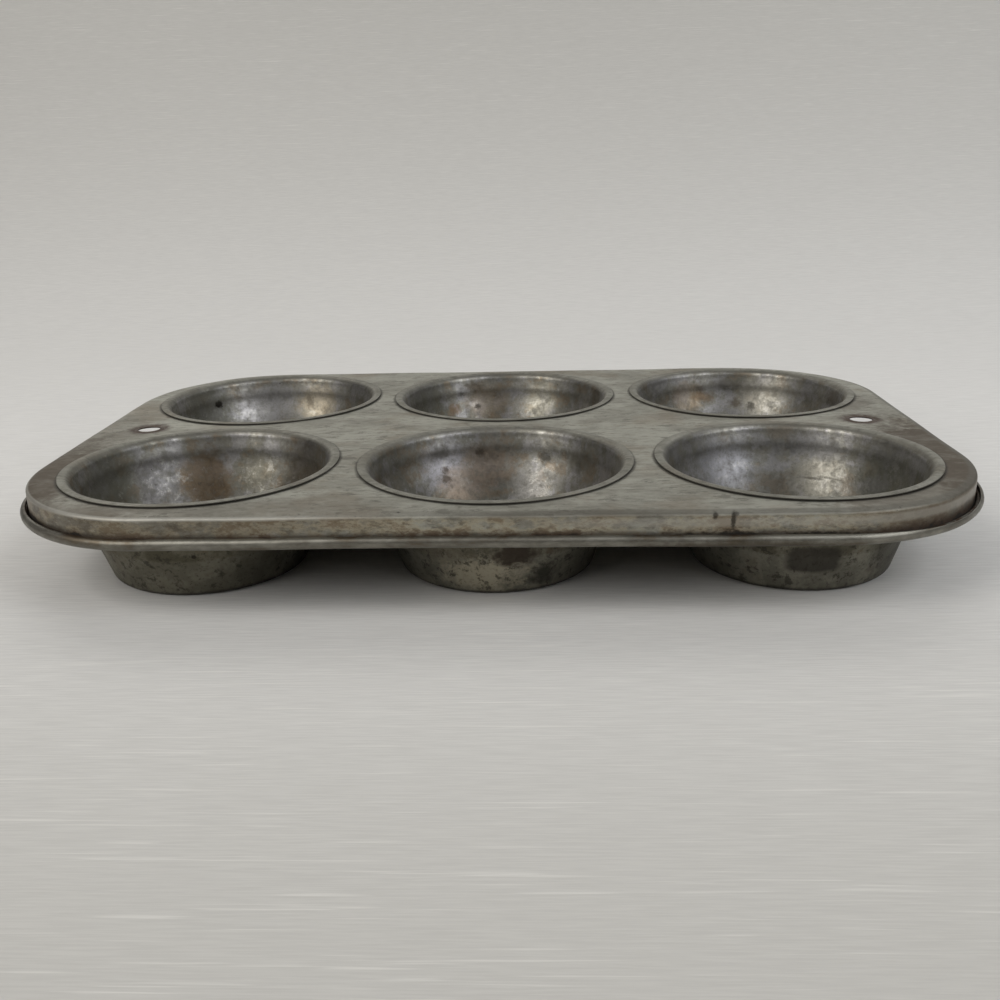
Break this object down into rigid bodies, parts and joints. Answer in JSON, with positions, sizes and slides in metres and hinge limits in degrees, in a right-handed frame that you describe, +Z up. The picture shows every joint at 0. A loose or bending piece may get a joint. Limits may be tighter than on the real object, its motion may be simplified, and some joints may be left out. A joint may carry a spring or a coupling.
{
  "type": "muffin pan",
  "caption": "Shallow rounded pan of tinned sheet steel with flat-bottomed cups hung through its deck for baking muffins, and a hole at each end to hang it by.",
  "frame": {"origin": "on the floor that the cups stand on, under the middle of the pan", "axes": "+X along the long side, +Y from the front long side to the back one, +Z up out of the cups"},
  "size_m": [0.2736, 0.1836, 0.0306],
  "materials": {
    "deck_tin": "dull tarnished tinplate with rust in its creases",
    "rim_wire_steel": "plain drawn wire",
    "cup_front_left_tin": "tarnished tinplate with baked-on stains",
    "cup_front_middle_tin": "tarnished tinplate with baked-on stains",
    "cup_front_right_tin": "tarnished tinplate with baked-on stains",
    "cup_back_left_tin": "tarnished tinplate with baked-on stains",
    "cup_back_middle_tin": "tarnished tinplate with baked-on stains",
    "cup_back_right_tin": "tarnished tinplate with baked-on stains"
  },
  "bodies": {
    "root": {"deck": "deck_tin", "rim_wire": "rim_wire_steel", "cup_front_left": "cup_front_left_tin", "cup_front_middle": "cup_front_middle_tin", "cup_front_right": "cup_front_right_tin", "cup_back_left": "cup_back_left_tin", "cup_back_middle": "cup_back_middle_tin", "cup_back_right": "cup_back_right_tin"}
  },
  "joints": []
}
